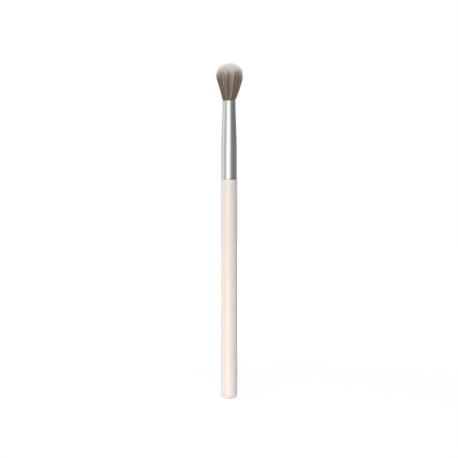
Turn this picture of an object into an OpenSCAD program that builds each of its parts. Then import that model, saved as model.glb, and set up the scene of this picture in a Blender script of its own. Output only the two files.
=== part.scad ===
// Eyeshadow brush: a lacquered round handle, a tapered metal ferrule and a domed tuft.
// The axis is Z. The origin is the centre of the handle's butt and the hairs point up.

/* [Handle] */
// Length of the handle from the butt to the shoulder
handle_len = 107.5; // [90:0.5:130]
// Diameter of the straight shank over the lacquer
shank_d = 8; // [7:0.1:9]
// Length of the gentle taper that ends at the shoulder
taper_len = 17.5; // [8:0.5:30]
// How much smaller the shoulder is than the shank, in diameter
taper_drop = 0.07; // [0.02:0.01:0.3]
// Radius of the rounded edge of the butt
butt_round = 2.2; // [1:0.1:3]
// Thickness of the lacquer coat
lacquer_t = 0.2; // [0.1:0.01:0.3]

/* [Tenon] */
// Distance from the end of the tenon to the bend where the ferrule's taper starts
bend_clear = 1.4; // [0.4:0.1:4]
// Width of the bevel on the end of the tenon
tenon_bevel = 0.6; // [0.2:0.1:1]
// Number of glue grooves turned in the tenon
groove_count = 3; // [1:1:4]
// Width of a glue groove
groove_w = 0.8; // [0.4:0.1:1.2]
// Depth of a glue groove
groove_depth = 0.25; // [0.1:0.05:0.5]
// Distance from one glue groove to the next
groove_pitch = 3.6; // [2:0.1:3.8]
// Gap between the tenon and the ferrule that the adhesive fills
glue_gap = 0.1; // [0.05:0.01:0.2]
// Thickness of the adhesive over the end of the tenon
glue_cap = 0.5; // [0.2:0.1:1]

/* [Ferrule] */
// Length of the ferrule
ferrule_len = 38.7; // [34:0.1:44]
// Wall of the ferrule's tube
ferrule_wall = 0.35; // [0.25:0.05:0.5]
// How far the ferrule stands in from the edge of the shoulder
ferrule_step = 0.145; // [0.05:0.005:0.25]
// Length of the ferrule's straight lower part
straight_len = 17.4; // [16:0.1:20]
// Outer diameter at the mouth
mouth_d = 6.4; // [6:0.1:7]
// Length of the straight land below the mouth
mouth_land = 3; // [1:0.5:3.5]

/* [Root] */
// Depth of the adhesive's top face below the mouth
glue_depth = 4; // [3:0.5:6]
// Thickness of the top slice of the root, in which the hairs stand
slice_t = 1; // [0.6:0.1:1.5]
// Free space between the bonded root and the adhesive over the tenon
root_space = 2.5; // [1:0.5:5]
// Depth of the waist that the thread ties
waist_depth = 0.45; // [0.4:0.05:0.7]
// Width of the slope at each end of the waist
waist_slope = 0.4; // [0.2:0.1:0.8]
// Diameter of the binding thread
thread_d = 0.3; // [0.2:0.02:0.4]
// Number of turns of the binding thread
thread_turns = 4; // [3:1:6]
// Gap between one turn of the thread and the next
turn_gap = 0.46; // [0.42:0.02:0.7]
// Clearance of the thread to the waist
thread_clear = 0.02; // [0.01:0.01:0.04]

/* [Tuft] */
// Length of the hairs from the ferrule's mouth to the top
tuft_len = 18.8; // [14:0.1:22]
// Largest diameter of the tuft
tuft_d = 13.5; // [11:0.1:15]
// Height of the dome above the widest place
dome_h = 6.3; // [4:0.1:8]
// How full the dome is: 2 is an ellipse, and more is squarer
dome_bend = 2.6; // [2:0.1:4]
// Number of rings of strands around the middle strand
ring_count = 10; // [10:1:12]
// Clearance of the hair bundle to the ferrule's bore
hair_clear = 0.02; // [0.01:0.01:0.1]
// How much shorter the shortest tips are than the dome
tip_ragged = 0.5; // [0:0.1:1]
// Last ring that belongs to the core group
core_rings = 4; // [3:1:5]
// Last ring that belongs to the middle group
middle_rings = 7; // [6:1:8]

/* [Hidden] */
$fn = 96;

// Overrun of a cut past the face that it opens
cut = 1;

// Handle: the coat's outer radii and the core's radii under it
shank_r = shank_d / 2;
shoulder_r = (shank_d - taper_drop) / 2;

// Ferrule: heights of its ends and its bends, and its radii
mouth_z = handle_len + ferrule_len;
bend_z = handle_len + straight_len;
land_z = mouth_z - mouth_land;
base_r = shoulder_r - ferrule_step;
mouth_r = mouth_d / 2;

// Tenon, which leaves the adhesive's gap to the bore
tenon_r = base_r - ferrule_wall - glue_gap;
tenon_z = bend_z - bend_clear;
cap_z = tenon_z + glue_cap;

// Root: heights of the adhesive's slice, the plug under it and the waist midway in the plug
slice_top = mouth_z - glue_depth;
slice_z = slice_top - slice_t;
root_z = cap_z + root_space;
thread_pitch = thread_d + turn_gap;
waist_len = thread_turns * thread_pitch + 2 * thread_d;
waist_z = (root_z + slice_z - waist_len) / 2;
waist_r = bore_r(waist_z + waist_len + waist_slope) - waist_depth;

// Thread: rings in a turn, sides of a ring, and the radius that the thread's centre follows
turn_rings = 24;
thread_sides = 6;
thread_r = thread_d / 2;
chord_share = 1 / cos(180 / turn_rings);
wind_r = (waist_r + thread_clear) * chord_share + thread_r;
wind_z = waist_z + (waist_len - thread_turns * thread_pitch) / 2;

// Tuft: the widest place, the radii at the mouth and there, and how the flare bends
top_z = mouth_z + tuft_len;
wide_z = top_z - dome_h;
throat_r = mouth_r - ferrule_wall - hair_clear;
flare_bend = 1.18;

// Strands: how wide they are against their spacing, where their rings lie between the
// mouth and the tip, and how wide each ring is
strand_share = 0.4;
station_shares = [0, 0.6, 0.85];
width_shares = [1, 0.9, 0.6];
ring_jitter_share = 0.06;
hair_seed = 7;

// Radius of the bundle at its widest, where the outer ring of strands reaches the full size
wide_r = tuft_d / 2 * (ring_count + 0.5) / (ring_count + strand_share * width_shares[2]);

// Radius of the ferrule's bore at a height
function bore_r(z) =
    let (t = min(1, max(0, (z - bend_z) / (land_z - bend_z))))
    base_r + (mouth_r - base_r) * t - ferrule_wall;

// Points up the bore from one height to another, with the bends that lie between them
function bore_points(from_z, to_z) =
    let (bends = [for (z = [bend_z, land_z]) if (z > from_z && z < to_z) z])
    [for (z = concat([from_z], bends, [to_z])) [bore_r(z), z]];

// Radius of the hair bundle at a height: it fills the mouth, flares and bends upright
function bundle_r(z) =
    let (t = min(1, max(0, (z - mouth_z) / (wide_z - mouth_z))))
    throat_r + (wide_r - throat_r) * (1 - pow(1 - t, flare_bend));

// Height of the dome over a strand that stands a share of the way out
function dome_z(share) =
    let (reach = share * wide_r / (tuft_d / 2))
    wide_z + dome_h * pow(1 - pow(reach, dome_bend), 1 / dome_bend);

// Share of the bundle's radius at which a ring of strands stands
function ring_share(k) = k / (ring_count + 0.5);

// Half-outline of the handle's body, drawn in from the coat's surface
module body_outline(inset, top_z) {
    round_r = butt_round - inset;
    r = shank_r - inset;
    straight_z = handle_len - taper_len;
    slope = (shank_r - shoulder_r) / taper_len;
    intersection() {
        union() {
            translate([0, inset]) square([r - round_r, straight_z - inset]);
            translate([0, butt_round]) square([r, straight_z - butt_round]);
            translate([r - round_r, butt_round]) circle(round_r);
            polygon([[0, straight_z], [r, straight_z],
                [r - slope * (top_z - straight_z), top_z], [0, top_z]]);
        }
        square([shank_r, top_z]);
    }
}

// Half-outline of the tenon with its end bevel and its glue grooves
module tenon_outline(foot_z) {
    first_z = (handle_len + tenon_z - (groove_count - 1) * groove_pitch) / 2;
    difference() {
        polygon([[0, foot_z], [tenon_r, foot_z], [tenon_r, tenon_z - tenon_bevel],
            [tenon_r - tenon_bevel, tenon_z], [0, tenon_z]]);
        for (i = [0 : groove_count - 1])
            translate([tenon_r - groove_depth, first_z + i * groove_pitch - groove_w / 2])
                square([groove_depth + cut, groove_w]);
    }
}

// Wooden core of the handle, with the tenon turned on its end
module handle_core() {
    color("burlywood")
        rotate_extrude() {
            body_outline(lacquer_t, handle_len);
            tenon_outline(handle_len - cut);
        }
}

// Lacquer coat over the core, from the butt to the shoulder
module handle_lacquer() {
    color([0.96, 0.92, 0.87])
        rotate_extrude()
            difference() {
                body_outline(0, handle_len);
                body_outline(lacquer_t, handle_len + cut);
            }
}

// Drawn metal tube: straight, tapered, then a short land that ends in a rounded lip
module ferrule() {
    lip_r = ferrule_wall / 2;
    lip_z = mouth_z - lip_r;
    color([0.78, 0.79, 0.77])
        rotate_extrude() {
            polygon([[base_r, handle_len], [base_r, bend_z], [mouth_r, land_z],
                [mouth_r, lip_z], [mouth_r - ferrule_wall, lip_z],
                [mouth_r - ferrule_wall, land_z], [base_r - ferrule_wall, bend_z],
                [base_r - ferrule_wall, handle_len]]);
            translate([mouth_r - lip_r, lip_z]) circle(lip_r);
        }
}

// Cured adhesive: it fills the gap and the grooves and covers the end of the tenon
module tenon_glue() {
    color([0.93, 0.87, 0.68])
        rotate_extrude()
            difference() {
                polygon(concat([[0, handle_len]], bore_points(handle_len, cap_z), [[0, cap_z]]));
                tenon_outline(handle_len - cut);
            }
}

// Lower ends of the hairs, bonded in one plug that seats in the ferrule's taper
module root_plug() {
    waist_top = waist_z + waist_len;
    color([0.42, 0.35, 0.27])
        rotate_extrude()
            polygon(concat([[0, root_z]], bore_points(root_z, waist_z - waist_slope),
                [[waist_r, waist_z], [waist_r, waist_top]],
                bore_points(waist_top + waist_slope, slice_z), [[0, slice_z]]));
}

// Points of the thread's centre: helical turns with a straight end at each side
function wind_point(a) =
    [wind_r * cos(a), wind_r * sin(a), wind_z + thread_pitch * a / 360];
function wind_way(a) = [-sin(a), cos(a), 0];
wind_end = 360 * thread_turns;
wind_points = concat(
    [wind_point(0) - thread_d * wind_way(0)],
    [for (i = [0 : turn_rings * thread_turns]) wind_point(i * 360 / turn_rings)],
    [wind_point(wind_end) + thread_d * wind_way(wind_end)]);
wind_angles = concat([0], [for (i = [0 : turn_rings * thread_turns]) i * 360 / turn_rings],
    [wind_end]);

// Binding thread: one unbroken tube wound around the waist of the root
module root_thread() {
    n = thread_sides;
    last = len(wind_points) - 1;
    points = [for (i = [0 : last]) for (s = [0 : n - 1])
        let (a = wind_angles[i], c = thread_r * cos(s * 360 / n))
        wind_points[i] + [c * cos(a), c * sin(a), thread_r * sin(s * 360 / n)]];
    sides = [for (i = [0 : last - 1]) for (s = [0 : n - 1])
        let (p = i * n + s, q = i * n + (s + 1) % n)
        each [[p, q, p + n], [q, q + n, p + n]]];
    foot = [for (s = [1 : n - 2]) [0, s + 1, s]];
    head = [for (s = [1 : n - 2]) [last * n, last * n + s, last * n + s + 1]];
    color("ivory") polyhedron(points, concat(sides, foot, head));
}

// Least gap of the thread to itself, measured between points half a turn or more apart
thread_gap = min([for (i = [0 : len(wind_points) - 1])
    for (j = [i + turn_rings / 2 : len(wind_points) - 1])
        norm(wind_points[i] - wind_points[j])]) - thread_d;
echo(thread_gap = thread_gap);

// Strands of one ring: [share of the radius, angle, height of the tip]
function ring_strands(k) =
    let (
        count = max(1, 6 * k),
        noise = rands(-1, 1, 2 * count, hair_seed + k),
        jitter = k == ring_count ? 0 : ring_jitter_share * 360 / count,
        turn = k == ring_count ? 0 : 360 * noise[0]
    )
    [for (i = [0 : count - 1])
        [ring_share(k), turn + i * 360 / count + jitter * noise[i],
            dome_z(ring_share(k)) - (k == 0 ? 0 : tip_ragged * abs(noise[count + i]))]];

// Rings of one strand: [distance from the axis, height, half-width]
function strand_rings(s) =
    let (
        spacing = 1 / (ring_count + 0.5),
        foot_z = slice_top - slice_t / 2,
        foot = [s[0] * throat_r, foot_z, strand_share * spacing * throat_r]
    )
    concat([foot], [for (j = [0 : len(station_shares) - 1])
        let (z = mouth_z + station_shares[j] * (s[2] - mouth_z), r = bundle_r(z))
        [s[0] * r, z, strand_share * spacing * r * width_shares[j]]]);

// Points of one three-sided strand, its tip last
function strand_points(s) =
    concat([for (ring = strand_rings(s)) for (side = [0 : 2])
            let (a = s[1] + side * 120)
            [ring[0] * cos(s[1]) + ring[2] * cos(a), ring[0] * sin(s[1]) + ring[2] * sin(a),
                ring[1]]],
        [[s[0] * bundle_r(s[2]) * cos(s[1]), s[0] * bundle_r(s[2]) * sin(s[1]), s[2]]]);

// Faces of one strand whose points start at a number
function strand_faces(first) =
    let (rings = len(station_shares) + 1, tip = first + 3 * rings)
    concat([[first, first + 1, first + 2]],
        [for (j = [0 : rings - 2]) for (side = [0 : 2])
            let (p = first + 3 * j + side, q = first + 3 * j + (side + 1) % 3)
            each [[p, p + 3, q], [q, p + 3, q + 3]]],
        [for (side = [0 : 2])
            [tip - 3 + side, tip, tip - 3 + (side + 1) % 3]]);

// One group of strands, fused to its ring of the adhesive's top slice
module hair_group(from_ring, to_ring) {
    strands = [for (k = [from_ring : to_ring]) each ring_strands(k)];
    size = len(strand_points(strands[0]));
    inner_r = from_ring == 0 ? 0 : throat_r * (from_ring - 0.5) / (ring_count + 0.5);
    outer_r = throat_r * (to_ring + 0.5) / (ring_count + 0.5);
    polyhedron([for (s = strands) each strand_points(s)],
        [for (i = [0 : len(strands) - 1]) each strand_faces(i * size)]);
    rotate_extrude()
        if (to_ring == ring_count)
            polygon(concat([[inner_r, slice_z]], bore_points(slice_z, slice_top),
                [[inner_r, slice_top]]));
        else
            translate([inner_r, slice_z]) square([outer_r - inner_r, slice_t]);
}

// Shortest hairs, which form the flared side of the tuft
module tuft_outer() {
    color([0.56, 0.49, 0.44]) hair_group(middle_rings + 1, ring_count);
}

// Hairs between the side and the core
module tuft_middle() {
    color([0.68, 0.63, 0.58]) hair_group(core_rings + 1, middle_rings);
}

// Longest hairs, which form the top of the dome
module tuft_core() {
    color([0.88, 0.87, 0.84]) hair_group(0, core_rings);
}

// Least gap between strands that stand in one ring, and between rings, at the mouth
ring_gap = throat_r / (ring_count + 0.5) * (1 - 2 * strand_share);
side_gap = min([for (k = [1 : ring_count])
    2 * ring_share(k) * throat_r * sin((1 - 2 * ring_jitter_share) * 30 / k)])
    - 2 * strand_share * throat_r / (ring_count + 0.5);
echo(strands = 1 + 3 * ring_count * (ring_count + 1), strand_gap = min(ring_gap, side_gap));

handle_core();
handle_lacquer();
ferrule();
tenon_glue();
root_plug();
root_thread();
tuft_outer();
tuft_middle();
tuft_core();
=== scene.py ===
"""Round eyeshadow brush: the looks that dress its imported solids, and the studio around it."""

import math
import random

import bmesh
import bpy
from mathutils import Matrix, Vector
from mathutils.kdtree import KDTree


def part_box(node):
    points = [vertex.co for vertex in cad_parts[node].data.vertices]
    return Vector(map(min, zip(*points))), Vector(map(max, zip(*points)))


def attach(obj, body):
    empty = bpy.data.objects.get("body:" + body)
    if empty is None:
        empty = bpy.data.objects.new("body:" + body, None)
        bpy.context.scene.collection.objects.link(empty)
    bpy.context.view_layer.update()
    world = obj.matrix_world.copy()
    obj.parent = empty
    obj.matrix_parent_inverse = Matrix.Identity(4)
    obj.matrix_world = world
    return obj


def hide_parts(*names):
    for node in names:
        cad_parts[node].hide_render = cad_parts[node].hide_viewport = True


bl_info = {
    "name": "Eyeshadow Brush",
    "version": (1, 0, 0),
    "blender": (4, 5, 0),
    "location": "3D View > Sidebar > Brush",
    "description": "Makes a lacquered handle, a metal ferrule and a domed tuft of fine hairs",
    "category": "Object",
}

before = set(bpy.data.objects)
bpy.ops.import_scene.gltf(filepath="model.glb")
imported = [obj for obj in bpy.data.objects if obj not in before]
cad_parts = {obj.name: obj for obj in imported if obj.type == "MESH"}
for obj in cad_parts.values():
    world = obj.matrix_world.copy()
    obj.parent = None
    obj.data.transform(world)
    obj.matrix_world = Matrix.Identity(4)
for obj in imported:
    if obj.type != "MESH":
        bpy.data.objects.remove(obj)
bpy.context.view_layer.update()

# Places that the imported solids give: (lowest corner, highest corner)
COAT_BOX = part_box("handle_lacquer")
TUBE_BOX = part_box("ferrule")
THREAD_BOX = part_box("root_thread")
TUFT_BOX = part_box("tuft_core")

MM = 0.001
MICRON = 1e-6
FULL_TURN = 2 * math.pi
GOLDEN_TURN = math.pi * (3 - math.sqrt(5))
BLACK = (0.0, 0.0, 0.0, 1.0)
WHITE = (1.0, 1.0, 1.0, 1.0)
HAIR_UV = "OFBake"


def length(name, description, default):
    """A size that a user can change."""
    return bpy.props.FloatProperty(
        name=name, description=description, default=default, min=0.0, unit="LENGTH",
        subtype="DISTANCE", precision=5,
    )


def share(name, description, default):
    """A part of one that a user can change."""
    return bpy.props.FloatProperty(
        name=name, description=description, default=default, min=0.0, max=1.0, subtype="FACTOR",
    )


def power(name, description, default):
    """The power of a lamp, which a user can change."""
    return bpy.props.FloatProperty(
        name=name, description=description, default=default, min=0.0, unit="POWER",
    )


def count(name, description, default):
    """A whole number that a user can change."""
    return bpy.props.IntProperty(name=name, description=description, default=default, min=1)


def paint(name, description, default):
    """A colour that a user can change."""
    return bpy.props.FloatVectorProperty(
        name=name, description=description, default=default, min=0.0, max=1.0, size=3,
        subtype="COLOR",
    )


class HandleSettings(bpy.types.PropertyGroup):
    """Sizes and colours of the handle."""

    shank: length("Shank radius", "Radius over the lacquer", COAT_BOX[1].x)
    shoulder: length("Shoulder radius", "Radius at the end of the taper", 3.965 * MM)
    taper: length("Taper", "Length of the taper below the shoulder", 17.5 * MM)
    butt_round: length("Butt rounding", "Radius of the rounded edge of the butt", 2.2 * MM)
    edge_round: length("Edge rounding", "Radius of the coat's edge at the shoulder", 0.14 * MM)
    coat: length("Coat", "Thickness of the lacquer", 0.2 * MM)
    lacquer: paint("Lacquer", "Colour of the lacquer", (0.915, 0.817, 0.762))
    wood: paint("Wood", "Colour of the turned wood", (0.58, 0.36, 0.18))


class FerruleSettings(bpy.types.PropertyGroup):
    """Sizes and colours of the ferrule."""

    base: length("Base radius", "Outer radius of the straight part", TUBE_BOX[1].x)
    mouth: length("Mouth radius", "Outer radius at the mouth", 3.2 * MM)
    wall: length("Wall", "Thickness of the tube", 0.35 * MM)
    straight: length("Straight part", "From the foot to the bend where the taper starts", 17.4 * MM)
    land: length("Land", "Length of the straight land below the mouth", 3 * MM)
    bend_round: length("Bend rounding", "Reach of the soft bends", 2.2 * MM)
    foot_round: length("Foot rounding", "Radius of the rolled lower edge", 0.13 * MM)
    metal: paint("Metal", "Colour of the metal", (0.80, 0.80, 0.79))


class RootSettings(bpy.types.PropertyGroup):
    """Sizes and colours of the adhesive, the bonded root and its thread."""

    turns: count("Turns", "Turns of the binding thread", 4)
    pitch: length("Pitch", "Rise of the thread in a turn", 0.76 * MM)
    yarn: length("Thread radius", "Radius of the thread", 0.15 * MM)
    plies: count("Plies", "Plies twisted into the thread", 3)
    twists: count("Twists", "Twists of the plies in a turn", 10)
    thread: paint("Thread", "Colour of the thread", (0.82, 0.77, 0.62))
    adhesive: paint("Adhesive", "Colour of the cured adhesive", (0.72, 0.56, 0.28))
    resin: paint("Bonded hair", "Colour of the bonded roots", (0.13, 0.09, 0.06))


class TuftSettings(bpy.types.PropertyGroup):
    """Sizes and colours of the hairs."""

    hairs: count("Hairs", "Number of hairs in the tuft", 7000)
    thickness: length("Hair radius", "Radius of a hair below its taper", 0.031 * MM)
    throat: length("Throat", "Radius of the bundle in the mouth", 2.79 * MM)
    widest: length("Widest", "Largest radius of the tuft", 6.82 * MM)
    widest_height: length("Height of the widest place", "Where the dome starts", 158.6 * MM)
    top: length("Top", "Height of the longest tips", TUFT_BOX[1].z)
    core: share("Core", "Where the core of long hairs ends", 0.4286)
    middle: share("Middle", "Where the middle hairs end", 0.7143)
    lean: length("Lean", "How far the tuft leans to the right", 0.31 * MM)
    strands: count("Strands", "Number of strands that the locks divide in", 60)
    wisps: count("Wisps", "Number of thin wisps", 430)
    dark_root: paint("Dark hair", "Colour of the darkest hairs", (0.18, 0.125, 0.088))
    pale_root: paint("Pale hair", "Colour of the palest hairs", (0.72, 0.615, 0.535))
    tip: paint("Tip", "Colour of the tips", (0.94, 0.935, 0.92))


class StageSettings(bpy.types.PropertyGroup):
    """Camera, floor and light."""

    distance: length("Camera distance", "From the brush's axis to the camera", 550 * MM)
    height: length("Camera height", "Height of the camera and of the picture's middle", 83.3 * MM)
    view: length("View", "Width of the picture at the brush", 225.4 * MM)
    key_lamp: power("Key lamp", "Power of the soft key lamp", 0.095)
    fill_lamp: power("Fill lamp", "Power of the fill lamp at the right", 0.022)
    tuft_lamp: power("Tuft lamp", "Power of the spot on the tuft", 8.8)
    ambient: share("Ambient", "Strength of the world on matt surfaces", 0.675)
    floor: paint("Floor", "Colour of the floor", (0.9, 0.9, 0.9))


# Shading


class Reading:
    """A socket of a shader. Arithmetic on it adds Math nodes."""

    def __init__(self, shading, socket):
        self.shading = shading
        self.socket = socket

    def math(self, operation, first, second):
        """Adds a Math node."""
        return self.shading.node(
            "ShaderNodeMath", {"operation": operation}, {0: first, 1: second}
        )

    def __add__(self, other):
        return self.math("ADD", self, other)

    __radd__ = __add__

    def __sub__(self, other):
        return self.math("SUBTRACT", self, other)

    def __rsub__(self, other):
        return self.math("SUBTRACT", other, self)

    def __mul__(self, other):
        return self.math("MULTIPLY", self, other)

    __rmul__ = __mul__


class Shading:
    """The node tree of a material or the world."""

    def __init__(self, owner):
        owner.use_nodes = True
        self.owner = owner
        self.tree = owner.node_tree

    def node(self, kind, settings=None, sockets=None, output=0):
        """Adds a node: first its settings, then the values or links of its sockets."""
        node = self.tree.nodes.new(kind)
        for key, value in (settings or {}).items():
            if key == "stops":
                self.set_stops(node.color_ramp, value)
            else:
                setattr(node, key, value)
        self.fill(node, sockets or {})
        return Reading(self, node.outputs[output])

    def set_stops(self, ramp, stops):
        """Sets a colour ramp from (position, colour) pairs."""
        while len(ramp.elements) < len(stops):
            ramp.elements.new(1.0)
        for element, (position, colour) in zip(ramp.elements, stops):
            element.position = position
            element.color = opaque(colour)

    def fill(self, node, sockets):
        """Sets or links a node's sockets."""
        for key, value in sockets.items():
            if isinstance(value, Reading):
                self.tree.links.new(value.socket, node.inputs[key])
            else:
                node.inputs[key].default_value = value

    def place(self, stretch=(1, 1, 1)):
        """Object coordinates, scaled along each axis."""
        place = self.node("ShaderNodeTexCoord", output="Object")
        if stretch == (1, 1, 1):
            return place
        return self.node(
            "ShaderNodeVectorMath", {"operation": "MULTIPLY"}, {0: place, 1: stretch}
        )

    def ramp(self, value, low, high):
        """Rises smoothly from 0 to 1 while a value goes from low to high."""
        return self.node(
            "ShaderNodeMapRange", {"interpolation_type": "SMOOTHSTEP"},
            {"Value": value, "From Min": low, "From Max": high},
        )

    def height(self, low, high):
        """Rises smoothly from 0 to 1 between two heights on the brush."""
        z = self.node("ShaderNodeSeparateXYZ", None, {0: self.place()}, "Z")
        return self.ramp(z, low, high)

    def noise(self, place, scale, detail=2.0):
        """Soft noise between 0 and 1, with about scale grains in a metre."""
        return self.node(
            "ShaderNodeTexNoise", None, {"Vector": place, "Scale": scale, "Detail": detail}
        )

    def mix(self, factor, first, second):
        """Mixes two colours."""
        return self.node(
            "ShaderNodeMix", {"data_type": "RGBA"}, {0: factor, 6: first, 7: second}, 2
        )

    def bump(self, relief, depth):
        """Normal of a relief of a given depth."""
        return self.node(
            "ShaderNodeBump", None, {"Height": relief, "Distance": depth}, "Normal"
        )


class Finish(Shading):
    """A material. Its constants go on the shader's own sockets."""

    def __init__(self, name, constants):
        super().__init__(bpy.data.materials.new(name))
        self.shader = self.tree.nodes["Principled BSDF"]
        self.fill(self.shader, constants)

    def done(self, sockets):
        """Links what varies and gives the material."""
        self.fill(self.shader, sockets)
        return self.owner


def opaque(colour):
    """A colour with full alpha."""
    return (*colour[:3], 1.0)


def shade(colour, level):
    """A colour made darker or paler."""
    return opaque([part * level for part in colour[:3]])


def blend(first, second, part):
    """The colour a part of the way from one colour to another."""
    return opaque([a + (b - a) * part for a, b in zip(first[:3], second[:3])])


# In the lacquer's finish: the heights between which the painted shade that greys the butt's rim
# fades, and how far down from the ferrule the painted shade at the joint reaches
BUTT_SHADE_FADE = (0.5 * MM, 1.9 * MM)
JOINT_SHADE_REACH = 0.4 * MM


def lacquer_finish(settings):
    """Pale pearly lacquer: faint clouds, fine pigment, and an orange-peel skin under gloss."""
    finish = Finish(
        "cream_lacquer",
        {"IOR": 1.5, "Coat Weight": 1.0, "Coat Roughness": 0.07, "Coat IOR": 1.5},
    )
    place = finish.place()
    cloud = finish.noise(place, 70.0)
    pigment = finish.noise(place, 6500.0, 1.0)
    skin = finish.noise(place, 620.0)
    body = finish.mix(
        cloud * 0.55 + pigment * 0.45, shade(settings.lacquer, 0.965), shade(settings.lacquer, 1.02)
    )
    red, green, blue = settings.lacquer
    # Painted shade: the butt's rounded rim greyer and darker towards the bottom
    butt_shade = opaque((red * 0.9, green * 0.975, blue))
    body = finish.mix(1 - finish.height(*BUTT_SHADE_FADE), body, butt_shade)
    top = COAT_BOX[1].z
    # Painted shade: a darker band just below the ferrule, where the lacquer meets it
    joint_shade = finish.height(top - JOINT_SHADE_REACH, top)
    return finish.done({
        "Base Color": finish.mix(joint_shade * 0.45, body, shade(settings.lacquer, 0.55)),
        "Roughness": 0.20 + cloud * 0.06 + pigment * 0.05,
        "Normal": finish.bump(skin + pigment * 0.12, 4 * MICRON),
    })


def metal_finish(settings):
    """Drawn metal: fine lines round the tube and a faint mottle from polishing."""
    finish = Finish("satin_ferrule", {"Metallic": 1.0})
    lines = finish.noise(finish.place((1, 1, 60)), 130.0, 3.0)
    mottle = finish.noise(finish.place(), 420.0)
    return finish.done({
        "Base Color": finish.mix(
            mottle * 0.6 + lines * 0.4, shade(settings.metal, 0.95), shade(settings.metal, 1.03)
        ),
        "Roughness": 0.15 + lines * 0.08 + mottle * 0.05,
        "Normal": finish.bump(lines, 0.4 * MICRON),
    })


def wood_finish(settings):
    """Turned wood: long grain and fine pores."""
    finish = Finish("turned_wood", {"IOR": 1.45})
    grain = finish.noise(finish.place((1, 1, 0.04)), 1500.0, 4.0)
    pores = finish.noise(finish.place((1, 1, 0.12)), 5200.0)
    return finish.done({
        "Base Color": finish.mix(
            grain * 0.7 + pores * 0.3, shade(settings.wood, 0.62), shade(settings.wood, 1.3)
        ),
        "Roughness": 0.48 + pores * 0.22,
        "Normal": finish.bump(pores, 15 * MICRON),
    })


def adhesive_finish(settings):
    """Cured adhesive: amber clouds and small bubbles."""
    finish = Finish("cured_adhesive", {"IOR": 1.52, "Subsurface Weight": 0.15})
    cloud = finish.noise(finish.place(), 900.0)
    bubbles = finish.node(
        "ShaderNodeTexVoronoi", None, {"Vector": finish.place(), "Scale": 2600.0}, "Distance"
    )
    return finish.done({
        "Base Color": finish.mix(
            cloud, shade(settings.adhesive, 0.75), shade(settings.adhesive, 1.2)
        ),
        "Roughness": 0.16 + cloud * 0.12,
        "Normal": finish.bump(bubbles, 20 * MICRON),
    })


def resin_finish(settings):
    """Bonded roots: hairs that run up through dark resin."""
    finish = Finish("bonded_hair", {"IOR": 1.5})
    strands = finish.noise(finish.place((1, 1, 0.05)), 9000.0)
    cloud = finish.noise(finish.place(), 800.0)
    return finish.done({
        "Base Color": finish.mix(
            strands * 0.75 + cloud * 0.25, shade(settings.resin, 0.5), shade(settings.resin, 2.1)
        ),
        "Roughness": 0.34 + strands * 0.3,
        "Normal": finish.bump(strands, 30 * MICRON),
    })


def thread_finish(settings):
    """Cotton thread: uneven fibres that lie along the turns."""
    finish = Finish("binding_thread", {"Sheen Weight": 0.3})
    fibres = finish.noise(finish.place((1, 1, 4)), 5200.0, 3.0)
    return finish.done({
        "Base Color": finish.mix(fibres, shade(settings.thread, 0.7), shade(settings.thread, 1.15)),
        "Roughness": 0.72 + fibres * 0.2,
        "Normal": finish.bump(fibres, 12 * MICRON),
    })


def hair_finish(settings, name):
    """Taupe hair with pale tips. U is the tone of a hair and V the way up it."""
    finish = Finish(name, {"IOR": 1.5, "Specular IOR Level": 0.4})
    way = finish.node("ShaderNodeUVMap", {"uv_map": HAIR_UV}, None, "UV")
    tone = finish.node("ShaderNodeSeparateXYZ", None, {0: way}, "X")
    reach = finish.node("ShaderNodeSeparateXYZ", None, {0: way}, "Y")
    ends = (
        hair_stops(settings.dark_root, settings.tip, 0.0, 0.9),
        hair_stops(settings.pale_root, settings.tip, -0.07, 1.06),
    )
    shades = [finish.node("ShaderNodeValToRGB", {"stops": stops}, {0: reach}) for stops in ends]
    return finish.done({
        "Base Color": finish.mix(tone, *shades),
        "Roughness": 0.42 + tone * 0.16,
    })


def hair_stops(root, tip, late, level):
    """Colours up a hair: it warms on the way, and pales to a tip of the given level.

    late shifts the place where it pales."""
    warm = (root[0] * 1.03, root[1], root[2] * 0.92)
    return [
        # The first stop darkens the hair at and below the mouth: painted shade by the ferrule
        (0.0, shade(root, 0.82)), (0.3, opaque(root)), (late + 0.62, shade(warm, 1.2)),
        (late + 0.7, blend(shade(warm, 1.25), tip, 0.18)),
        (late + 0.8, blend(shade(warm, 1.3), tip, 0.62)),
        (late + 0.88, blend(warm, tip, 0.92)), (1.0, shade(tip, level)),
    ]


# Shaping

# Points nearer to each other than this become one
WELD = 0.1 * MICRON
# Reach of the soft bend where the shank turns into the taper
TAPER_BEND = 4 * MM
# Parts of the tube's wall that each edge of the lip rounds, and of the lower bend's reach that
# the upper bend takes
LIP_SHARE = 0.49
UPPER_BEND_SHARE = 0.5
# Depth of the grooves between the plies, as a part of the thread's radius
GROOVE_SHARE = 0.26


def turned(outline, rounds, closed=False, steps=128, longest=1.2 * MM):
    """A solid turned from a half outline of (radius, height) points.

    rounds gives the reach and the segments of the fillet at a numbered point, and longest the
    length past which an edge is cut."""
    bm = bmesh.new()
    corners = [bm.verts.new((radius, 0, height)) for radius, height in outline]
    ends = corners[1:] + corners[:1] if closed else corners[1:]
    for first, second in zip(corners, ends):
        bm.edges.new((first, second))
    for number, (reach, segments) in rounds.items():
        bmesh.ops.bevel(
            bm, geom=[corners[number]], offset=reach, offset_type="OFFSET", segments=segments,
            profile=0.5, affect="VERTICES", material=-1,
        )
    for edge in bm.edges[:]:
        cuts = int(edge.calc_length() / longest)
        if cuts:
            bmesh.ops.subdivide_edges(bm, edges=[edge], cuts=cuts)
    bmesh.ops.spin(
        bm, geom=bm.verts[:] + bm.edges[:], cent=(0, 0, 0), axis=(0, 0, 1), angle=FULL_TURN,
        steps=steps, use_merge=True,
    )
    bmesh.ops.remove_doubles(bm, verts=bm.verts, dist=WELD)
    bmesh.ops.recalc_face_normals(bm, faces=bm.faces)
    return bm


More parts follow.
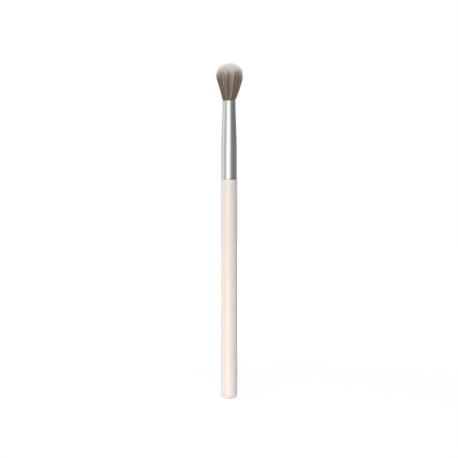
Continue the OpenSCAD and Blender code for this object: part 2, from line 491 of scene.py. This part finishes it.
def piece(name, bm, material, slot, *nodes):
    """Puts a finished piece on the brush, in place of its solids."""
    mesh = bpy.data.meshes.new(name)
    bm.to_mesh(mesh)
    bm.free()
    mesh.shade_smooth()
    mesh.materials.append(material)
    made = bpy.data.objects.new(name, mesh)
    bpy.context.scene.collection.objects.link(made)
    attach(made, "root")
    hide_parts(*nodes)


def carry_over(node, material):
    """Gives a solid that stays its finish."""
    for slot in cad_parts[node].material_slots:
        slot.material = material


def coat_mesh(settings):
    """Lacquer coat: the butt, the shank and the taper outside, and the wood's shape inside."""
    top = COAT_BOX[1].z
    taper = top - settings.taper
    coat = settings.coat
    outline = [
        (0, 0), (settings.shank, 0), (settings.shank, taper), (settings.shoulder, top),
        (settings.shoulder - coat, top), (settings.shank - coat, taper),
        (settings.shank - coat, coat), (0, coat),
    ]
    rounds = {
        1: (settings.butt_round, 14), 6: (settings.butt_round - coat, 14),
        3: (settings.edge_round, 6), 2: (TAPER_BEND, 6),
    }
    return turned(outline, rounds)


def ferrule_mesh(settings):
    """Drawn tube: a rolled foot, soft bends and a rounded lip, with its bore."""
    foot, top = TUBE_BOX[0].z, TUBE_BOX[1].z
    wall = settings.wall
    bend, land = foot + settings.straight, top - settings.land
    outline = [
        (settings.base, foot), (settings.base, bend), (settings.mouth, land), (settings.mouth, top),
        (settings.mouth - wall, top), (settings.mouth - wall, land), (settings.base - wall, bend),
        (settings.base - wall, foot),
    ]
    lip = wall * LIP_SHARE
    lower = settings.bend_round
    upper = lower * UPPER_BEND_SHARE
    rounds = {
        0: (settings.foot_round, 6), 1: (lower, 8), 2: (upper, 8), 3: (lip, 8), 4: (lip, 8),
        5: (upper, 6), 6: (lower, 6),
    }
    return turned(outline, rounds, closed=True, longest=0.9 * MM)


def thread_mesh(settings, steps=96):
    """Thread of twisted plies, wound round the waist of the root."""
    low, high = THREAD_BOX
    turns = settings.turns
    rise = settings.pitch * turns
    centre = Vector((high.x - settings.yarn, 0, (low.z + high.z - rise) / 2))
    bm = bmesh.new()
    ring = bmesh.ops.create_circle(
        bm, cap_ends=True, radius=settings.yarn, segments=12,
        matrix=Matrix.Translation(centre) @ Matrix.Rotation(math.pi / 2, 4, "X"),
    )["verts"]
    for vert in ring:
        spoke = vert.co - centre
        dent = 0.5 - 0.5 * math.cos(settings.plies * math.atan2(spoke.z, spoke.x))
        vert.co = centre + spoke * (1 - GROOVE_SHARE * dent)
    face = ring[0].link_faces[0]
    turn = Matrix.Rotation(FULL_TURN / steps, 4, "Z")
    lift = Vector((0, 0, settings.pitch / steps))
    twist = FULL_TURN * settings.twists / steps
    for step in range(turns * steps):
        if step == 0:
            grown = bmesh.ops.extrude_face_region(bm, geom=[face], use_keep_orig=True)["geom"]
            face = next(part for part in grown if isinstance(part, bmesh.types.BMFace))
        else:
            face = bmesh.ops.extrude_discrete_faces(bm, faces=[face])["faces"][0]
        verts = face.verts[:]
        bmesh.ops.rotate(bm, verts=verts, cent=(0, 0, 0), matrix=turn)
        bmesh.ops.translate(bm, verts=verts, vec=lift)
        centre = turn @ centre + lift
        along = Vector((-centre.y, centre.x, 0))
        bmesh.ops.rotate(bm, verts=verts, cent=centre, matrix=Matrix.Rotation(twist, 4, along))
    bmesh.ops.recalc_face_normals(bm, faces=bm.faces)
    return bm


class Tuft:
    """The plan of the tuft: where each hair stands and how it bends."""

    SEED = 1110
    # Powers in the outlines of the flare and the dome
    FLARE_BEND = 1.12
    DOME_BEND = 2.5
    # How far below the mouth the hairs start, and how far above it the lean sets in
    ROOT_DEPTH = 4.5 * MM
    LEAN_RISE = 4 * MM
    # How far the hairs lie over the lip, and the parts of the flare where that sets in and fades
    HUG = 0.22 * MM
    HUG_START = 0.05
    HUG_FADE = 0.37
    # Degrees round from the right to the front
    FRONT = -90
    # Thick locks at the side: how far out they stand, then for each its degrees round from the
    # front and its tone
    SIDE_REACH = 0.8
    SIDE_LOCKS = (
        (-90, -0.2), (-59.5, -0.7), (-24.5, -0.5), (12.5, -0.1), (35.5, -1.1), (58.5, -0.1),
        (86, -0.1), (112, -0.2), (141, 0.3), (170, -0.8), (199, 0.4), (228, -0.9), (249, 0.2),
    )
    # Reach and number of the inner ones
    INNER_LOCKS = ((0.44, 7), (0.0, 1))
    # For thick locks, for strands and for wisps: how far their middles stray, their pull on the
    # hairs, their tint, the painted shade that darkens the hairs in the clefts between them, and
    # their tips' shift in millimetres
    THICK = (0.0, 0.14, 0.1, 0.105, 0.2)
    STRANDS = (0.3, 0.16, 0.035, 0.07, 0.45)
    WISPS = (0.35, 0.34, 0.072, 0.09, 0.85)
    # Width of the painted shade in a cleft, as a part of the spacing
    CLEFT_SHADE_WIDTH = 0.25
    # How far a hair strays, at its root as a part of the spacing and at its tip, and the rim that
    # holds the roots
    ROOT_STRAY = 0.16
    TIP_STRAY = 0.018
    RIM = 0.998
    # How far inside the outline a hair keeps: the spread and the most
    INSET_SPREAD = 0.03
    INSET_MOST = 0.1
    # A hair's own tone, its spread, and the limits of all tones
    TONE = 0.375
    TONE_SPREAD = 0.1
    TONE_LIMITS = (0.02, 0.97)
    # In millimetres: the spread of the hairs' tops in the middle and what the outermost add, what
    # short hairs lack, and the spread of the pale tips' shift
    TOP_SPREAD = 0.36
    OUTER_SPREAD = 0.4
    SHORT_LACK = (0.3, 1.6)
    SHIFT_SPREAD = 0.4
    # The part of the hairs that is short
    SHORT_PART = 0.06
    # What the outermost hairs add to the shift in millimetres, and what those at the left and right
    # add, with the part of the radius where that sets in
    OUTER_SHIFT = 0.1
    SIDE_SHIFT = 0.8
    SIDE_START = 0.78
    # Points of a hair above the mouth: the first one's height, and the parts of the way to the tip
    FIRST_RISE = 0.35 * MM
    WAYS = (0.16, 0.36, 0.58, 0.8, 1.0)
    # Parts of the way up: the locks pull fully from the first, let go from the second over the
    # third, and let go of this part of the pull
    PULL_FULL = 0.4
    PULL_LOOSENS = 0.5
    PULL_RUN = 0.45
    PULL_LOST = 0.85

    def __init__(self, settings):
        self.settings = settings
        self.mouth = TUBE_BOX[1].z
        self.root = self.mouth - self.ROOT_DEPTH
        self.draw = random.Random(self.SEED)
        thick = [self.around(self.SIDE_REACH, turn + self.FRONT) for turn, _ in self.SIDE_LOCKS]
        tones = [tone for _, tone in self.SIDE_LOCKS]
        for reach, total in self.INNER_LOCKS:
            thick += [self.around(reach, 360 * number / total) for number in range(total)]
            tones += [0.0] * total
        self.levels = [
            self.level(thick, tones, *self.THICK),
            self.level(self.scatter(settings.strands), None, *self.STRANDS),
            self.level(self.scatter(settings.wisps), None, *self.WISPS),
        ]

    def spread(self, number, total):
        """Even places over a disc of radius one."""
        reach = math.sqrt((number + 0.5) / total)
        turn = number * GOLDEN_TURN
        return Vector((reach * math.cos(turn), reach * math.sin(turn), 0))

    def around(self, reach, degrees):
        """A place at a share of the way out, turned by an angle."""
        turn = math.radians(degrees)
        return Vector((reach * math.cos(turn), reach * math.sin(turn), 0))

    def scatter(self, total):
        """Even places over the disc."""
        return [self.spread(number, total) for number in range(total)]

    def stray(self, size):
        """A small random step across the brush."""
        return Vector((self.draw.gauss(0, size), self.draw.gauss(0, size), 0))

    def level(self, middles, tones, unrest, *effects):
        """A tree of the middles of locks, a tone and a tip's shift for each, and their effects."""
        tree = KDTree(len(middles))
        spacing = math.sqrt(math.pi / len(middles))
        marks = []
        for number, middle in enumerate(middles):
            tree.insert(middle + self.stray(unrest * spacing), number)
            tone = tones[number] if tones else self.draw.gauss(0, 1)
            marks.append((tone, self.draw.gauss(0, 1)))
        tree.balance()
        return (tree, marks, *effects)

    def bundle(self, height):
        """Radius of the bundle: it fills the mouth, hugs the lip, flares and stands upright."""
        settings = self.settings
        span = settings.widest_height - self.mouth
        way = min(1.0, max(0.0, (height - self.mouth) / span))
        flare = 1 - (1 - way) ** self.FLARE_BEND
        fade = math.exp(-((way / self.HUG_FADE) ** 2))
        hug = self.HUG * smooth(way / self.HUG_START) * fade
        return settings.throat + (settings.widest - settings.throat) * flare + hug

    def tip(self, reach):
        """Height of the dome over a place."""
        settings = self.settings
        rise = settings.top - settings.widest_height
        full = max(0.0, 1 - min(1.0, reach) ** self.DOME_BEND)
        return settings.widest_height + rise * full ** (1 / self.DOME_BEND)

    def hair(self, number):
        """One hair: its place in the bundle, the points of its path, and its tone and shift."""
        spacing = math.sqrt(math.pi / self.settings.hairs)
        spot = self.spread(number, self.settings.hairs)
        band = spot.length
        spot = spot + self.stray(self.ROOT_STRAY * spacing)
        if spot.length > self.RIM:
            spot = spot * (self.RIM / spot.length)
        out = spot.normalized()
        tone = self.draw.gauss(self.TONE, self.TONE_SPREAD)
        shift = self.draw.gauss(0, self.SHIFT_SPREAD)
        pull = Vector((0, 0, 0))
        for tree, marks, strength, tint, cleft_shade, slide in self.levels:
            (middle, mark, near), (_, _, far) = tree.find_n(spot, 2)
            inward = middle - spot
            pull += strength * (inward - out * inward.dot(out) * band * band)
            tone += tint * marks[mark][0]
            shift += slide * marks[mark][1]
            parting = (far - near) / math.sqrt(math.pi / len(marks))
            # Hairs next to a cleft between locks get a darker tone: painted shade in the cleft
            tone -= cleft_shade * math.exp(-((parting / self.CLEFT_SHADE_WIDTH) ** 2))
        side = smooth((abs(out.x) - self.SIDE_START) / (1 - self.SIDE_START))
        shift += (self.OUTER_SHIFT + self.SIDE_SHIFT * side) * band ** 4
        least, most = self.TONE_LIMITS
        return band, self.path(spot, band, pull), min(most, max(least, tone)), shift * MM

    def path(self, spot, band, pull):
        """The points of a hair from its root to its tip."""
        drift = self.stray(self.TIP_STRAY)
        edge = 1 - min(self.INSET_MOST, abs(self.draw.gauss(0, self.INSET_SPREAD)))
        spread = (self.TOP_SPREAD + self.OUTER_SPREAD * band ** 6) * MM
        top = self.tip(spot.length) - abs(self.draw.gauss(0, spread))
        if self.draw.random() < self.SHORT_PART:
            top -= self.draw.uniform(*self.SHORT_LACK) * MM
        heights = [self.root, self.mouth, self.mouth + self.FIRST_RISE] + [
            self.mouth + way * (top - self.mouth) for way in self.WAYS
        ]
        path = []
        for height in heights:
            way = max(0.0, (height - self.mouth) / (top - self.mouth))
            loose = self.PULL_LOST * smooth((way - self.PULL_LOOSENS) / self.PULL_RUN)
            held = smooth(way / self.PULL_FULL) * (1 - loose)
            place = spot + pull * held + drift * way * way
            if place.length > edge:
                place = place.normalized() * edge
            point = place * self.bundle(height)
            lean = self.settings.lean * smooth((height - self.mouth) / self.LEAN_RISE)
            path.append(Vector((point.x + lean, point.y, height)))
        return path


def smooth(way):
    """Rises from 0 to 1 with soft ends."""
    way = min(1.0, max(0.0, way))
    return way * way * (3 - 2 * way)


# A hair's width at each point of its path, and the number of the point in the mouth
HAIR_WIDTHS = (1, 1, 1, 1, 0.95, 0.85, 0.55, 0.14)
MOUTH_POINT = 1
# Length above the mouth of a hair that ends at V = 1, and the highest V
HAIR_SPAN = 19 * MM
HIGHEST_V = 0.995
# Width of a hair's faces on the UV map
UV_WIDTH = 1 / 512
# Depths below the mouth between which a group's slice of the bonded root lies, and the gap to the
# next slice
SLICE_DEPTHS = (5 * MM, 4 * MM)
SLICE_GAP = 0.01 * MM
# The slice on the UV map: its middle, and how far a millimetre goes there
SLICE_TONE = 0.3
SLICE_WAY = 0.03
TONE_STEP = 0.05
WAY_STEP = 0.003


def hair_mesh(hairs, settings, inner, outer):
    """Hairs grown ring by ring from the top of their slice of the bonded root."""
    bm = bmesh.new()
    marks = {
        "hair": bm.verts.layers.int.new("hair"), "corner": bm.verts.layers.int.new("corner"),
        "reach": bm.verts.layers.float.new("reach"),
    }
    faces = plant_hairs(bm, hairs, marks, settings.thickness)
    grow_hairs(bm, hairs, marks, faces)
    uv = bm.loops.layers.uv.new(HAIR_UV)
    map_hairs(bm, hairs, marks, uv)
    add_slice(bm, uv, inner, outer)
    bmesh.ops.recalc_face_normals(bm, faces=bm.faces)
    return bm


def plant_hairs(bm, hairs, marks, radius):
    """A small triangle at each hair's root. Its corners note their own and the hair's number."""
    faces = []
    for number, (path, _, _) in enumerate(hairs):
        ring = bmesh.ops.create_circle(
            bm, cap_ends=True, radius=radius, segments=3,
            matrix=Matrix.Translation(path[0]) @ Matrix.Rotation(number * GOLDEN_TURN, 4, "Z"),
        )["verts"]
        for corner, vert in enumerate(ring):
            vert[marks["hair"]] = number
            vert[marks["corner"]] = corner
        faces.append(ring[0].link_faces[0])
    return faces


def grow_hairs(bm, hairs, marks, faces):
    """Extrudes the triangles along the hairs' paths and notes how far up each point is.

    The first step keeps the roots' faces, which close the hairs."""
    lengths = [0.0] * len(hairs)
    for step in range(1, len(HAIR_WIDTHS)):
        if step == 1:
            grown = bmesh.ops.extrude_face_region(bm, geom=faces, use_keep_orig=True)["geom"]
            faces = [part for part in grown if isinstance(part, bmesh.types.BMFace)]
        else:
            faces = bmesh.ops.extrude_discrete_faces(bm, faces=faces)["faces"]
        narrow = HAIR_WIDTHS[step] / HAIR_WIDTHS[step - 1]
        for face in faces:
            number = face.verts[0][marks["hair"]]
            path, _, shift = hairs[number]
            reach = 0.0
            if step > MOUTH_POINT:
                lengths[number] += (path[step] - path[step - 1]).length
                reach = (lengths[number] + shift) / HAIR_SPAN
            for vert in face.verts:
                vert.co = path[step] + (vert.co - path[step - 1]) * narrow
                vert[marks["reach"]] = min(HIGHEST_V, max(0.0, reach))


def map_hairs(bm, hairs, marks, uv):
    """Maps each hair to a thin strip: U is its tone and V the way up it."""
    for face in bm.faces:
        tone = hairs[face.verts[0][marks["hair"]]][1]
        low = min(vert[marks["corner"]] for vert in face.verts)
        cap = len(face.verts) == 3
        for loop in face.loops:
            corner = loop.vert[marks["corner"]]
            reach = loop.vert[marks["reach"]] + (UV_WIDTH if cap and corner == 2 else 0)
            loop[uv].uv = (tone + (0 if corner == low else UV_WIDTH), reach)


def add_slice(bm, uv, inner, outer):
    """The group's slice of the bonded root, in which its hairs stand."""
    low, high = [TUBE_BOX[1].z - depth for depth in SLICE_DEPTHS]
    outline = [(inner, low), (outer, low), (outer, high), (inner, high)]
    ring = turned(outline, {}, closed=inner > 0, steps=48, longest=math.inf)
    mesh = bpy.data.meshes.new("slice")
    ring.to_mesh(mesh)
    ring.free()
    old = set(bm.faces)
    bm.from_mesh(mesh)
    bpy.data.meshes.remove(mesh)
    for face in bm.faces:
        if face not in old:
            for loop in face.loops:
                x, y, z = (loop.vert.co - Vector((0, 0, high))) / MM
                loop[uv].uv = (SLICE_TONE + TONE_STEP * x, SLICE_WAY + WAY_STEP * (y + z))


# Operators


class BRUSH_OT_wood(bpy.types.Operator):
    """Finish the turned wooden core of the handle"""

    bl_idname = "eyeshadow_brush.wood"
    bl_label = "Wooden core"

    def execute(self, context):
        carry_over("handle_core", wood_finish(context.scene.brush_handle))
        return {"FINISHED"}


class BRUSH_OT_coat(bpy.types.Operator):
    """Make the lacquer coat"""

    bl_idname = "eyeshadow_brush.coat"
    bl_label = "Lacquer coat"

    def execute(self, context):
        settings = context.scene.brush_handle
        piece(
            "lacquer_coat", coat_mesh(settings), lacquer_finish(settings), "cream_lacquer",
            "handle_lacquer",
        )
        return {"FINISHED"}


class BRUSH_OT_ferrule(bpy.types.Operator):
    """Make the metal ferrule"""

    bl_idname = "eyeshadow_brush.ferrule"
    bl_label = "Ferrule"

    def execute(self, context):
        settings = context.scene.brush_ferrule
        piece(
            "ferrule_tube", ferrule_mesh(settings), metal_finish(settings), "satin_ferrule",
            "ferrule",
        )
        return {"FINISHED"}


class BRUSH_OT_bonding(bpy.types.Operator):
    """Finish the adhesive and the bonded root"""

    bl_idname = "eyeshadow_brush.bonding"
    bl_label = "Adhesive and root"

    def execute(self, context):
        settings = context.scene.brush_root
        carry_over("tenon_glue", adhesive_finish(settings))
        carry_over("root_plug", resin_finish(settings))
        return {"FINISHED"}


class BRUSH_OT_thread(bpy.types.Operator):
    """Wind the binding thread"""

    bl_idname = "eyeshadow_brush.thread"
    bl_label = "Binding thread"

    def execute(self, context):
        settings = context.scene.brush_root
        piece(
            "wound_thread", thread_mesh(settings), thread_finish(settings), "binding_thread",
            "root_thread",
        )
        return {"FINISHED"}


class BRUSH_OT_tuft(bpy.types.Operator):
    """Grow the hairs of the tuft in three groups"""

    bl_idname = "eyeshadow_brush.tuft"
    bl_label = "Tuft"

    def execute(self, context):
        settings = context.scene.brush_tuft
        tuft = Tuft(settings)
        groups = (
            ("hair_long", settings.core, "tuft_core", "hair_top"),
            ("hair_medium", settings.middle, "tuft_middle", "hair_middle"),
            ("hair_short", 1.0, "tuft_outer", "hair_side"),
        )
        hairs = [tuft.hair(number) for number in range(settings.hairs)]
        inner = 0.0
        for name, edge, node, slot in groups:
            group = [hair[1:] for hair in hairs if inner <= hair[0] < edge]
            gap = SLICE_GAP if inner else 0.0
            outer = settings.throat * edge
            bm = hair_mesh(group, settings, settings.throat * inner + gap, outer)
            piece(name, bm, hair_finish(settings, slot), slot, node)
            inner = edge
        return {"FINISHED"}


class BRUSH_OT_stage(bpy.types.Operator):
    """Set up the floor, the world, the light and the camera"""

    bl_idname = "eyeshadow_brush.stage"
    bl_label = "Studio"

    def execute(self, context):
        settings = context.scene.brush_stage
        lay_floor(settings)
        light_world(context.scene, settings)
        for number, (start, end, colour) in enumerate(REFLECTORS):
            hang_card(f"card_{number}", start, end, colour, CARD_RADIUS, CARD_LOW, CARD_HIGH)
        for number, (start, end, low, high, colour) in enumerate(PART_REFLECTORS):
            radius = PART_CARD_RADIUS + number * CARD_GAP
            hang_card(f"part_card_{number}", start, end, colour, radius, low, high)
        for name, (kind, place, aim, details) in LAMPS.items():
            hang_lamp(kind, name, getattr(settings, name), place, aim, details)
        place_camera(context.scene, settings)
        context.scene.view_settings.view_transform = "Standard"
        return {"FINISHED"}


# Lamps by the setting that gives their power: kind, place, what they are aimed at, and details
NARROW_DISK = {"shape": "DISK", "size": 0.2, "spread": math.radians(30)}
LAMPS = {
    "key_lamp": (
        "AREA", (-0.27, -0.83, 0.06), (0, 0, -0.05), {**NARROW_DISK, "color": (1, 0.985, 0.96)},
    ),
    "fill_lamp": (
        "AREA", (0.75, -0.3, 0.08), (0, 0, -0.05), {**NARROW_DISK, "color": (0.8, 0.7, 1)},
    ),
    "tuft_lamp": (
        "SPOT", (0.04, -0.56, 0.4), (0, 0, 0.176),
        {"spot_size": math.radians(10), "spot_blend": 0.7, "shadow_soft_size": 0.03},
    ),
}
# Distance of the reflector cards from the brush, and the heights of their edges
CARD_RADIUS = 1.1
CARD_LOW = -0.6
CARD_HIGH = 1.1
# Distance of the first of the nearer cards, and how much further out each next one stands
PART_CARD_RADIUS = 1.06
CARD_GAP = 0.004
# Reflector cards: the two directions in degrees that each stands between, counted from the
# camera to the right, and its colour
REFLECTORS = (
    (-168, -150, (0.62, 0.62, 0.57)), (-150, -106, (0.68, 0.67, 0.61)),
    (-106, -84, (1.04, 1.04, 0.94)), (-84, -40, (0.57, 0.575, 0.525)),
    (-40, -30, (0.98, 0.99, 0.96)), (-30, -15, (1.17, 1.17, 1.14)), (-15, -1, (1.4, 1.4, 1.375)),
    (-1, 13, (1.2, 1.21, 1.22)), (13, 23, (1.0, 1.01, 1.02)), (23, 28, (0.60, 0.60, 0.63)),
    (28, 48, (0.30, 0.30, 0.33)), (48, 67, (0.23, 0.23, 0.26)), (67, 113, (0.18, 0.18, 0.20)),
    (113, 150, (0.24, 0.24, 0.26)), (150, 178, (0.25, 0.25, 0.25)),
)
# Nearer ones, of which the low ones show in the lacquer and the narrow ones in the ferrule's
# foot: the same, with the heights of the two edges before the colour
PART_REFLECTORS = (
    (-19, -3, -0.6, 0.02, (2.9, 2.88, 2.82)), (-19, -3, -0.6, 0.165, (2.3, 2.28, 2.24)),
    (-168, -106, -0.6, 0.16, (0.82, 0.84, 0.87)), (1, 24, -0.6, 0.09, (0.2, 0.2, 0.22)),
    (-42, -29, 0.158, 0.225, (1.6, 1.61, 1.56)), (66, 150, 0.16, 0.22, (0.29, 0.29, 0.32)),
    (-150, -106, 0.16, 0.2, (0.5, 0.49, 0.44)), (-106, -84, 0.16, 0.2, (0.83, 0.83, 0.75)),
)


def plain_rays(shading):
    """1 for camera, glossy and transmitted rays, which see the plain background."""
    rays = [
        shading.node("ShaderNodeLightPath", output=name)
        for name in ("Is Camera Ray", "Is Glossy Ray", "Is Transmission Ray")
    ]
    seen = rays[0].math("MAXIMUM", rays[0], rays[1])
    return seen.math("MAXIMUM", seen, rays[2])


# Radius of the floor, its gap below the brush, and the distances between which it fades
FLOOR_RADIUS = 6.0
FLOOR_GAP = 0.02 * MM
FLOOR_FADE = (0.12, 0.45)
# How bright the floor glows at the brush, where the background's white is 1, and the part of its
# colour that the lamps light there and the brush's shadow darkens
FLOOR_GLOW = 0.8
LIT_SHARE = 1 / 3


def lay_floor(settings):
    """Pale floor that keeps the brush's shadow and fades into the background."""
    bm = bmesh.new()
    bmesh.ops.create_circle(bm, cap_ends=True, radius=FLOOR_RADIUS, segments=64)
    bmesh.ops.translate(bm, verts=bm.verts, vec=(0, 0, -FLOOR_GAP))
    mesh = bpy.data.meshes.new("floor")
    bm.to_mesh(mesh)
    bm.free()
    floor = bpy.data.objects.new("floor", mesh)
    bpy.context.scene.collection.objects.link(floor)
    finish = Finish("pale_floor", {
        "Roughness": 0.9, "Specular IOR Level": 0.0, "Emission Strength": 1.0,
    })
    plain = plain_rays(finish)
    reach = finish.node(
        "ShaderNodeVectorMath", {"operation": "LENGTH"}, {0: finish.place()}, "Value"
    )
    glow = plain * (finish.ramp(reach, *FLOOR_FADE) * (1 - FLOOR_GLOW) + FLOOR_GLOW)
    mesh.materials.append(finish.done({
        "Base Color": finish.mix(plain, opaque(settings.floor), shade(settings.floor, LIT_SHARE)),
        "Emission Color": finish.mix(glow, BLACK, WHITE),
    }))
    floor.visible_glossy = False


def light_world(scene, settings):
    """White to the eye and in reflections, softer on matt surfaces."""
    scene.world = bpy.data.worlds.new("studio")
    shading = Shading(scene.world)
    ground = shading.tree.nodes["Background"]
    plain = plain_rays(shading)
    shading.fill(ground, {
        "Color": WHITE,
        "Strength": settings.ambient + plain * (1 - settings.ambient),
    })


def hang_card(name, start, end, colour, radius, low, high):
    """A curved reflector card that the camera doesn't see."""
    bm = bmesh.new()
    angle = math.radians(start)
    foot = Vector((radius * math.sin(angle), -radius * math.cos(angle), low))
    ends = [bm.verts.new(foot), bm.verts.new(foot + Vector((0, 0, high - low)))]
    edge = bm.edges.new(ends)
    bmesh.ops.spin(
        bm, geom=ends + [edge], cent=(0, 0, 0), axis=(0, 0, 1), angle=math.radians(end - start),
        steps=24,
    )
    mesh = bpy.data.meshes.new(name)
    bm.to_mesh(mesh)
    bm.free()
    card = bpy.data.objects.new(name, mesh)
    bpy.context.scene.collection.objects.link(card)
    finish = Finish(name, {
        "Base Color": BLACK, "Specular IOR Level": 0.0,
        "Emission Color": opaque(colour), "Emission Strength": 1.0,
    })
    mesh.materials.append(finish.owner)
    card.visible_camera = False
    card.visible_shadow = False


def hang_lamp(kind, name, power, place, aim, details):
    """A lamp aimed at a point. Reflections don't show it."""
    lamp = bpy.data.lights.new(name, kind)
    lamp.energy = power
    for key, value in details.items():
        setattr(lamp, key, value)
    holder = bpy.data.objects.new(name, lamp)
    holder.location = place
    holder.rotation_euler = (Vector(aim) - Vector(place)).to_track_quat("-Z", "Y").to_euler()
    holder.visible_glossy = False
    bpy.context.scene.collection.objects.link(holder)


def place_camera(scene, settings):
    """The camera stands level, straight in front of the brush."""
    camera = bpy.data.cameras.new("camera")
    camera.lens = camera.sensor_width * settings.distance / settings.view
    camera.clip_start = 0.01
    camera.clip_end = 50.0
    holder = bpy.data.objects.new("camera", camera)
    holder.location = (0, -settings.distance, settings.height)
    holder.rotation_euler = (math.pi / 2, 0, 0)
    scene.collection.objects.link(holder)
    scene.camera = holder


class BRUSH_PT_panel(bpy.types.Panel):
    """The brush's pieces and their settings"""

    bl_idname = "BRUSH_PT_panel"
    bl_label = "Eyeshadow Brush"
    bl_space_type = "VIEW_3D"
    bl_region_type = "UI"
    bl_category = "Brush"

    def draw(self, context):
        column = self.layout.column()
        for operator in OPERATORS:
            column.operator(operator.bl_idname)
        for name in SETTINGS:
            box = self.layout.box()
            settings = getattr(context.scene, name)
            for key in settings.bl_rna.properties.keys():
                if key not in ("rna_type", "name"):
                    box.prop(settings, key)


SETTINGS = {
    "brush_handle": HandleSettings,
    "brush_ferrule": FerruleSettings,
    "brush_root": RootSettings,
    "brush_tuft": TuftSettings,
    "brush_stage": StageSettings,
}
OPERATORS = (
    BRUSH_OT_wood, BRUSH_OT_coat, BRUSH_OT_ferrule, BRUSH_OT_bonding, BRUSH_OT_thread,
    BRUSH_OT_tuft, BRUSH_OT_stage,
)


def register():
    """Adds the settings, the operators and the panel."""
    for name, group in SETTINGS.items():
        bpy.utils.register_class(group)
        setattr(bpy.types.Scene, name, bpy.props.PointerProperty(type=group))
    for item in (*OPERATORS, BRUSH_PT_panel):
        bpy.utils.register_class(item)


def unregister():
    """Takes them away again."""
    for item in (BRUSH_PT_panel, *reversed(OPERATORS)):
        bpy.utils.unregister_class(item)
    for name, group in SETTINGS.items():
        delattr(bpy.types.Scene, name)
        bpy.utils.unregister_class(group)


def main():
    """Makes the brush and its stage."""
    register()
    for operator in OPERATORS:
        getattr(bpy.ops.eyeshadow_brush, operator.bl_idname.split(".")[1])()


if __name__ == "__main__":
    main()
